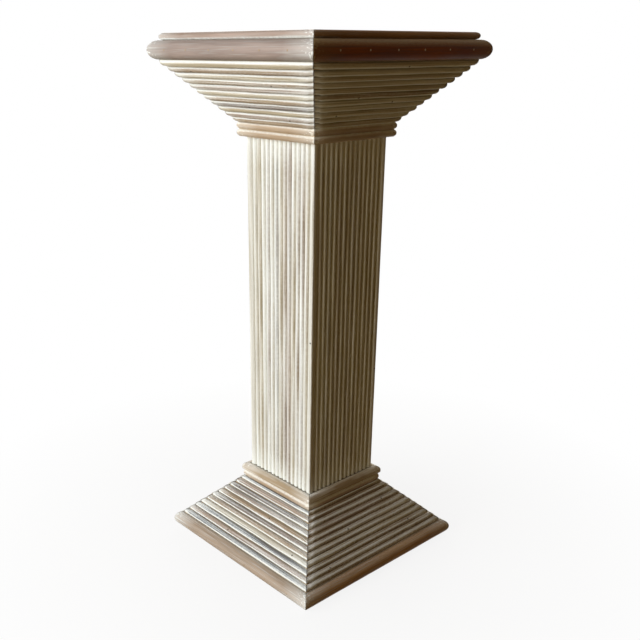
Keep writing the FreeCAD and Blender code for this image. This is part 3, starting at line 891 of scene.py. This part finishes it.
# %% [markdown]
# The wood that a visitor hardly sees: the top panel is plywood with the same lime wiped
# over its face veneer, the rest of the plywood and the glue blocks are bare, and the
# softwood battens are made darker, a painted shade, so that where they show through the
# gaps between the strips the gaps read dark. Their grain is drawn on object coordinates,
# long along one axis. The screws and brads are zinc plated steel, whose thin plating
# looks blue-grey and slightly cloudy.

# %% Panels, battens and steel
BAND_BUMP = (0.2, 0.1 * MM)
ZINC_CLOUD = 1.5 * MM
PUTTY_GRAIN = 0.8 * MM


def plain_wood(name, light, dark, ring_width, ring_length, roughness, lime_amount=0.0):
    """Long wavering bands between two wood colours on object coordinates, lime in the pores."""
    material, tree = new_material(name)
    where = add(tree, "ShaderNodeTexCoord").outputs["Object"]
    scale = (1 / ring_length, 1 / ring_width, 1 / ring_width)
    placed = add(tree, "ShaderNodeMapping", {"Vector": where, "Scale": scale}).outputs["Vector"]
    settings = {"Vector": placed, "Scale": 1.0, "Detail": 4.0, "Distortion": 0.5}
    bands = add(tree, "ShaderNodeTexNoise", settings).outputs["Fac"]
    rings = add(tree, "ShaderNodeMapRange", [bands, *NOISE_MIDDLE]).outputs[0]
    pores = add(tree, "ShaderNodeMapRange", [bands, 0.3, 0.6, lime_amount, lime_amount / 2]).outputs[0]
    colour = coated(tree, linear(light), [(rings, dark), (pores, LIME)])
    inputs = {"Base Color": colour, "Roughness": roughness, "IOR": 1.5}
    end_with_shader(tree, inputs, (bands, *BAND_BUMP))
    return material


def zinc_steel(name):
    """Metal with cloudy roughness, which is what a thin zinc plating looks like."""
    material, tree = new_material(name)
    where = add(tree, "ShaderNodeTexCoord").outputs["Object"]
    settings = {"Vector": where, "Scale": 1 / ZINC_CLOUD, "Detail": 2.0}
    clouds = add(tree, "ShaderNodeTexNoise", settings).outputs["Fac"]
    rough = add(tree, "ShaderNodeMapRange", [clouds, 0.0, 1.0, 0.28, 0.5]).outputs[0]
    end_with_shader(tree, {"Base Color": linear("#b9bcc0"), "Metallic": 1.0, "Roughness": rough})
    return material


def putty(name, colour):
    """Dry filler: chalky, a touch mottled, no shine."""
    material, tree = new_material(name)
    where = add(tree, "ShaderNodeTexCoord").outputs["Object"]
    settings = {"Vector": where, "Scale": 1 / PUTTY_GRAIN, "Detail": 2.0}
    mottle = add(tree, "ShaderNodeTexNoise", settings).outputs["Fac"]
    shade = add(tree, "ShaderNodeMapRange", [mottle, 0.0, 1.0, 0.8, 1.1]).outputs[0]
    chalk = {FACTOR: 1.0, FIRST: linear(colour), SECOND: shade}
    tinted = add(tree, "ShaderNodeMix", chalk, data_type="RGBA", blend_type="MULTIPLY").outputs[MIXED]
    end_with_shader(tree, {"Base Color": tinted, "Roughness": 0.85})
    return material


limed_plywood = plain_wood("limed_plywood", "#d8c3a2", "#c3a67f", 9 * MM, 160 * MM, 0.5, 0.55)
bare_plywood = plain_wood("bare_plywood", "#d3b68a", "#bd9a6a", 7 * MM, 120 * MM, 0.65)
gap_shade_softwood = plain_wood("gap_shade_softwood", "#8a7660", "#6c5a46", 4 * MM, 140 * MM, 0.6, 0.2)
bare_softwood = plain_wood("bare_softwood", "#dcbf8f", "#c79f68", 4 * MM, 140 * MM, 0.6)
zinc = zinc_steel("zinc_steel")
light_putty = putty("light_putty", "#b0987a")
dark_pin = putty("dark_pin_hole", "#3a3026")

CAD_FINISHES = {"plywood": bare_plywood, "softwood": bare_softwood, "steel": zinc, "panel_ply": limed_plywood}
slots = {entry["node"]: entry["material_slot"] for entry in frame["record"]["subparts"]}
for node, piece in frame["nodes"].items():
    # the battens take a darker colour, painted shade for the gaps that they show through
    finish = gap_shade_softwood if "batten" in node else CAD_FINISHES.get(slots[node])
    if finish:
        piece.data.materials.clear()
        piece.data.materials.append(finish)
print("nodes with plain finishes", sum(slot in CAD_FINISHES for slot in slots.values()))

# %% [markdown]
# Now the pieces are made, side by side. The tints of the reeds are lists of names, one
# for each reed from the top down or from left to right, given one by one: a hand-stained
# surface is recognised by which reed is dark and which is pale.

# %% Making and dressing a piece
BODY = "root"
SEEDS = {"capital": 10, "base": 20, "shaft": 30, "neck": 50, "foot": 60, "cap": 70, "trim": 80, "rail": 90}
WASH_SEEDS = 1000                # added to a piece's own seed
CROWNS = {}                      # crown lines of the level strips, turned to the front


def dress(piece, finish, nodes):
    """Gives a piece its finish and its body, and hides the nodes that it stands for."""
    piece.data.materials.append(finish)
    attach(piece, BODY)
    if nodes:
        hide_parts(*nodes)


def wash_values(seed, strips):
    """How much more or less lime than the others each strip has kept, from -1 to 1."""
    return random_for(WASH_SEEDS + seed).uniform(-1, 1, strips)[:, None, None]


def side_piece(name, side, made, seed, tints, wash, paste_at):
    """One side's strips, worked out at the front, as an object with the values of its finish.

    The names of the tints become places in the tint ramp, one for each strip.
    """
    points, grain, values = made
    places = np.resize([TINT_PLACES[tint] for tint in tints], len(points))[:, None, None]
    values.update(tint=places, wash=wash, paste_at=paste_at)
    return strips_piece(name, turned_to(side, points), grain + seed, values)


def level_piece(name, side, line, borders, depth, seed, stray, tints, bevel=None, paste_at=0.0, sanded=0.0):
    """One side's level strips as an object. Their crowns are kept for the dots."""
    made = level_strips(line, borders, depth, random_for(seed), stray, bevel, sanded)
    CROWNS[name] = made[0][:, :, BOW_POINTS // 2]
    return side_piece(name, side, made, seed, tints, wash_values(seed, len(made[0])), paste_at)


# %% Capital and base reeds
LEVEL_STRAY = 0.45 * MM
SANDED_RIDGE = 0.35
CAPITAL_TINTS = {
    "front": "straw tan straw tan rose straw tan mauve straw rose tan".split(),
    "right": "straw cream straw cream straw tan cream cream straw cream straw".split(),
}
BASE_TINTS = {
    "front": "slate rose mauve mauve tan mauve tan cream slate rose slate".split(),
    "right": "tan tan tan rose tan tan tan straw tan tan tan".split(),
}
# Where the pale line lies on each side: partly paste, partly a painted highlight where that side catches the
# light; on the base's right side it is a painted highlight on the crown. The back copies the right side, the
# left the front.
CAPITAL_PASTE_AND_HIGHLIGHT = {"front": -0.88, "right": 0.3}      # across the bow, from -1 at the top edge to 1
BASE_PASTE_AND_HIGHLIGHT = {"front": 0.58, "right": 0.0}
ALIKE = {"front": "front", "right": "right", "back": "right", "left": "front"}
SLOPES = {
    "capital": (CAPITAL_LINE, capital_borders, bevel_above_neck),
    "base": (BASE_LINE, base_borders, bevel_below_foot),
}
SLOPE_LOOKS = {
    "capital": (CAPITAL_TINTS, CAPITAL_PASTE_AND_HIGHLIGHT, capital_reed_finish),
    "base": (BASE_TINTS, BASE_PASTE_AND_HIGHLIGHT, base_reed_finish),
}
for order, (side, like) in enumerate(ALIKE.items()):
    for place, (line, borders, bevel) in SLOPES.items():
        tints, paste, finish = SLOPE_LOOKS[place]
        turned_tints = tints[like] if side == like else tints[like][::-1]
        reeds = level_piece(
            f"{place}_reed_skin_{side}", side, line, borders, REED_DEPTH, SEEDS[place] + order,
            LEVEL_STRAY, turned_tints, bevel, paste[like], SANDED_RIDGE,
        )
        dress(reeds, finish, [f"{place}_reeds_{side}"])

# %% Shaft reeds
PLAIN_TINTS = "cream straw cream rose straw mauve straw tan rose straw tan rose straw".split()
CORNER_TINTS = ["cream", "cream"]
TINT_STEP = 3                    # each side starts its list this much further on
# the pale line on the left flank of each upright reed: partly paste, partly painted highlight
SHAFT_PASTE_AND_HIGHLIGHT = -1.0
NO_PASTE = -3.0                  # the corners are wiped on both faces
CORNER_WASH = 0.0

for order, side in enumerate(QUARTER_TURNS):
    seed = SEEDS["shaft"] + order
    random = random_for(seed)
    side_tints = PLAIN_TINTS[TINT_STEP * order :] + PLAIN_TINTS[: TINT_STEP * order]
    runs = (
        (plain_uprights(random), side_tints, wash_values(seed, len(side_tints)), SHAFT_PASTE_AND_HIGHLIGHT),
        (corner_uprights(random), CORNER_TINTS, CORNER_WASH, NO_PASTE),
    )
    for number, (made, tints, wash, paste_at) in enumerate(runs):
        reeds = side_piece(f"shaft_reed_skin_{side}_{number}", side, made, seed, tints, wash, paste_at)
        dress(reeds, shaft_reed_finish, ["shaft_reeds_" + side])

# %% Neck, foot, cap and trim
COLLAR_STRAY = 0.2 * MM
TRIM_STRAY = 0.1 * MM
TRIM_LINE = ((panel_half, top), (panel_half, panel_underside))
trim_borders = np.array([0, top - panel_underside])
# the right side's rails and trim wear darker copies of their finishes, which are painted shade
SHADED_BOARD_SIDES = ("right",)
PALE_BOARD_SIDES = ("front", "back", "left")


def ring_piece(name, make, seed, names=tuple(QUARTER_TURNS)):
    """The same run on the named sides, each with its own wander, as one object."""
    sides = [make(random_for(seed + QUARTER_TURNS[side])) for side in names]
    points = np.concatenate([turned_to(side, made[0]) for side, made in zip(names, sides)])
    grain = np.concatenate([made[1] + seed + number for number, made in enumerate(sides)])
    values = {
        key: np.concatenate([np.broadcast_to(made[2][key], made[0].shape[:3]) for made in sides])
        for key in sides[0][2]
    }
    return strips_piece(name, points, grain, values)


COLLARS = {
    "neck": (NECK_LINE, neck_borders, bevel_below_capital),
    "foot": (FOOT_LINE, foot_borders, bevel_above_base),
}
for place, (line, borders, bevel) in COLLARS.items():
    collar = ring_piece(
        f"{place}_reed_skin",
        lambda random: level_strips(line, borders, REED_DEPTH, random, COLLAR_STRAY, bevel, SANDED_RIDGE),
        SEEDS[place],
    )
    dress(collar, neck_finish, [f"{place}_reeds"])
cap = ring_piece("foot_cap_skin", cap_strip, SEEDS["cap"])
dress(cap, cap_finish, ["foot_caps"])

# the trim named dark is the right side's, in its painted-shade copy
TRIMS = {"pale": (trim_finish, PALE_BOARD_SIDES), "dark": (shaded_side_trim_finish, SHADED_BOARD_SIDES)}
for shade, (finish, names) in TRIMS.items():
    trim = ring_piece(
        f"trim_skin_{shade}",
        lambda random: level_strips(TRIM_LINE, trim_borders, REED_DEPTH, random, TRIM_STRAY),
        SEEDS["trim"], names,
    )
    dress(trim, finish, ["top_trim"])

# %% Rails
RAIL_STRAY = 0.25 * MM
RAIL_TINTS = ["tan"]             # carried along, though a rail's finish has its own stains
rail_depth = front_reach("top_rail_front") - top_half - DOT_PROUD
RAILS = {
    "top": (((top_half, panel_underside), (top_half, capital_top)), top_rail_finish, shaded_side_rail_finish),
    "base": (((base_half, plinth_top), (base_half, 0.0)), base_rail_finish, shaded_side_base_rail_finish),
}
for place, (line, pale_finish, shaded_side_finish) in RAILS.items():
    borders = [-STRIP_GAP / 2, run_of(line)[0] + STRIP_GAP / 2]      # a rail has no gap beside it
    for order, side in enumerate(QUARTER_TURNS):
        finish = shaded_side_finish if side in SHADED_BOARD_SIDES else pale_finish
        rail = level_piece(
            f"{place}_rail_skin_{side}", side, line, borders, rail_depth, SEEDS["rail"] + order,
            RAIL_STRAY, RAIL_TINTS,
        )
        dress(rail, finish, [f"{place}_rail_{side}"])

# %% Putty and pins
BRAD_PITCH = 48.5 * MM
BRADS = 6
BRAD_PLACES = (np.arange(BRADS) - (BRADS - 1) / 2) * BRAD_PITCH
DOT_RADIUS = 1.2 * MM
PINS = {                         # reed from the top, and place along it in millimetres
    "capital_reed_skin_front": ((3, 55), (1, -90), (7, -20), (9, 44)),
    "capital_reed_skin_right": ((0, 12), (5, -40), (6, 30), (8, -58)),
    "capital_reed_skin_back": ((2, -70), (4, 35), (8, 10)),
    "capital_reed_skin_left": ((1, 80), (5, -15), (9, -50)),
    "base_reed_skin_front": ((2, -70), (4, 20), (7, 96), (9, -40)),
    "base_reed_skin_right": ((3, 60), (5, -30), (8, 88), (9, -95)),
    "base_reed_skin_back": ((3, -48), (6, 77), (9, 5)),
    "base_reed_skin_left": ((2, 30), (6, -64), (8, 50)),
}
CORNER_PIN_INSET = 3.0 * MM
CORNER_PIN_HEIGHTS = {"front": 0.361, "right": 0.29, "back": 0.41, "left": 0.25}
FORWARD = (1.0, 0.0)             # out and up of a direction square to the front
OUTWARD = {"capital": capital_outward, "base": base_outward}


def on_crown(name, strip, place):
    """Point on the crown of a level strip, straight between the two nearest rows."""
    crown = CROWNS[name][strip]
    return np.array([place, *(np.interp(place, crown[:, 0], crown[:, axis]) for axis in (1, 2))])


def turned_dot(side, centre, direction):
    """Centre and direction of a dot, from the front to a side. The direction is out and up."""
    out, up = direction
    return turned_to(side, centre), turned_to(side, np.array([0.0, -out, up]))


putty_spots = [
    turned_dot(side, on_crown(f"{place}_rail_skin_{side}", 0, spot), FORWARD)
    for place in RAILS for side in QUARTER_TURNS for spot in BRAD_PLACES
]
dress(dots_piece("rail_putty", putty_spots, DOT_RADIUS), light_putty, [])
pin_spots = [
    turned_dot(side, np.array([shaft_face - CORNER_PIN_INSET, -shaft_face, height]), FORWARD)
    for side, height in CORNER_PIN_HEIGHTS.items()
]
for name, spots in PINS.items():
    side, run = name.rsplit("_", 1)[1], name.split("_")[0]
    pin_spots += [turned_dot(side, on_crown(name, strip, place * MM), OUTWARD[run]) for strip, place in spots]
dress(dots_piece("reed_pins", pin_spots, DOT_RADIUS), dark_pin, [])

# %% [markdown]
# The stage is a pale floor under a white sky. The photograph's light is a large window on
# the left, not much higher than the piece, and little else: the sides that face it are
# bright, the others are in warm shade, lit by what the floor and the room throw back.
# A big soft lamp plays the window. A weaker one behind on the left keeps the far sides
# from going black, and a narrow one draws the thin light lines on the reeds of the right
# side. The sky and floor are white to the camera only, and the floor keeps the soft
# shadow.

# %% Floor and sky
FLOOR_HALF = 6.0
WHITE = (1.0, 1.0, 1.0, 1.0)
FLOOR_SEEN = "#f4f2ee"
FLOOR_BOUNCE = "#887245"         # what the floor throws back onto the piece
FLOOR_FADE = (0.15, 0.7, 0.87, 1.0)      # between two distances in metres, from grey to white
SKY_BOUNCE = "#ffc860"
SKY_STRENGTH = 0.07


def seen_straight(tree):
    """1 where the camera looks, by itself, in gloss or through glass, and 0 for other light."""
    rays = add(tree, "ShaderNodeLightPath").outputs
    seen = rays["Is Camera Ray"]
    for ray in ("Is Transmission Ray", "Is Glossy Ray"):
        seen = add(tree, "ShaderNodeMath", [seen, rays[ray]], operation="MAXIMUM").outputs[0]
    return seen


def floor_material():
    """Pale matt floor. Seen directly it turns into plain white away from the object."""
    material, tree = new_material("studio_floor")
    seen = seen_straight(tree)
    where = add(tree, "ShaderNodeTexCoord").outputs["Object"]
    distance = add(tree, "ShaderNodeVectorMath", [where], operation="LENGTH").outputs["Value"]
    away = combined(tree, seen, [(distance, *FLOOR_FADE)], "MULTIPLY")
    warm = add(tree, "ShaderNodeBsdfDiffuse", {"Color": linear(FLOOR_BOUNCE)}).outputs[0]
    pale = add(tree, "ShaderNodeBsdfDiffuse", {"Color": linear(FLOOR_SEEN)}).outputs[0]
    white = add(tree, "ShaderNodeEmission", {"Color": WHITE, "Strength": 1.0}).outputs[0]
    matt = add(tree, "ShaderNodeMixShader", [seen, warm, pale]).outputs[0]
    mixed = add(tree, "ShaderNodeMixShader", [away, matt, white]).outputs[0]
    add(tree, "ShaderNodeOutputMaterial", {"Surface": mixed})
    return material


floor_mesh = bpy.data.meshes.new("floor")
floor_corners = [(x * FLOOR_HALF, y * FLOOR_HALF, 0) for x, y in ((-1, -1), (1, -1), (1, 1), (-1, 1))]
floor_mesh.from_pydata(floor_corners, [], [(0, 1, 2, 3)])
floor = into_scene("floor", floor_mesh)
floor_mesh.materials.append(floor_material())

world = bpy.data.worlds.new("studio")
world.use_nodes = True
sky = world.node_tree
sky.nodes.clear()
fill = add(sky, "ShaderNodeBackground", {"Color": linear(SKY_BOUNCE), "Strength": SKY_STRENGTH}).outputs[0]
white = add(sky, "ShaderNodeBackground", {"Color": WHITE, "Strength": 1.0}).outputs[0]
mixed = add(sky, "ShaderNodeMixShader", [seen_straight(sky), fill, white]).outputs[0]
add(sky, "ShaderNodeOutputWorld", {"Surface": mixed})
bpy.context.scene.world = world
print("floor", 2 * FLOOR_HALF, "m wide")

# %% Window light
LAMPS_AIM = Vector((0, 0, 0.4))


def window(name, azimuth, height, distance, width, tall, power, colour):
    """Rectangular lamp, `azimuth` degrees from straight in front towards the right.

    Its -Z axis points from its place to where the lamps aim, with Z kept up.
    """
    data = bpy.data.lights.new(name, "AREA")
    data.shape = "RECTANGLE"
    data.size = width
    data.size_y = tall
    data.energy = power
    data.color = colour
    lamp = into_scene(name, data)
    angle = math.radians(azimuth)
    lamp.location = (distance * math.sin(angle), -distance * math.cos(angle), height)
    lamp.rotation_euler = (LAMPS_AIM - lamp.location).to_track_quat("-Z", "Y").to_euler()
    print(name, power, "W")


window(
    "window", azimuth=-17, height=1.4, distance=3.5, width=2.8, tall=2.8, power=151, colour=(0.835, 0.9, 1.0)
)
window(
    "back_window", azimuth=-135, height=0.9, distance=3.5, width=2.0, tall=1.6, power=70,
    colour=(1.0, 0.95, 0.88),
)
window(
    "window_strip", azimuth=7, height=1.1, distance=3.8, width=0.22, tall=2.0, power=36, colour=(1.0, 0.9, 0.72)
)

# %% [markdown]
# The camera stands where the photographer stood: in front of the corner between front and
# right, with the lens a little below the top and tilted down. Its place, turn, tilt and
# the length of its lens were found by fitting the frame's edges to the photograph's. The
# photograph is a crop, so the lens centre isn't at the picture's centre, and the camera's
# shift stands for that.

# %% Camera
PICTURE = 640                    # pixels, width and height
SENSOR_WIDTH = 36                # millimetres
FOCAL_PIXELS = 822.9
CENTRE_X, CENTRE_Y = 279.0, 397.4
CAMERA_AZIMUTH = math.radians(46.147)
CAMERA_YAW = math.radians(2.511)
CAMERA_PITCH = math.radians(23.043)
CAMERA_ROLL = math.radians(-0.1)
CAMERA_DISTANCE = 1.1895
CAMERA_HEIGHT = 0.744


def camera_axes():
    """Right, up and backward directions of the camera from its heading, tilt and roll."""
    heading = CAMERA_AZIMUTH + CAMERA_YAW
    level = np.array([-math.sin(heading), math.cos(heading), 0])
    forward = level * math.cos(CAMERA_PITCH) + np.array([0, 0, -math.sin(CAMERA_PITCH)])
    right = np.array([math.cos(heading), math.sin(heading), 0])
    up = np.cross(right, forward)
    rolled_right = right * math.cos(CAMERA_ROLL) + up * math.sin(CAMERA_ROLL)
    rolled_up = up * math.cos(CAMERA_ROLL) - right * math.sin(CAMERA_ROLL)
    return rolled_right, rolled_up, -forward


lens = bpy.data.cameras.new("camera")
lens.sensor_width = SENSOR_WIDTH
lens.lens = FOCAL_PIXELS / PICTURE * SENSOR_WIDTH
lens.shift_x = (PICTURE / 2 - CENTRE_X) / PICTURE
lens.shift_y = (CENTRE_Y - PICTURE / 2) / PICTURE
camera = into_scene("camera", lens)
matrix = np.eye(4)
matrix[:3, :3] = np.stack(camera_axes(), axis=1)
sideways, forward = math.sin(CAMERA_AZIMUTH), -math.cos(CAMERA_AZIMUTH)
matrix[:3, 3] = (CAMERA_DISTANCE * sideways, CAMERA_DISTANCE * forward, CAMERA_HEIGHT)
camera.matrix_world = Matrix(matrix.tolist())
bpy.context.scene.camera = camera
bpy.context.scene.view_settings.view_transform = "Standard"
print("lens", round(lens.lens, 2), "mm")
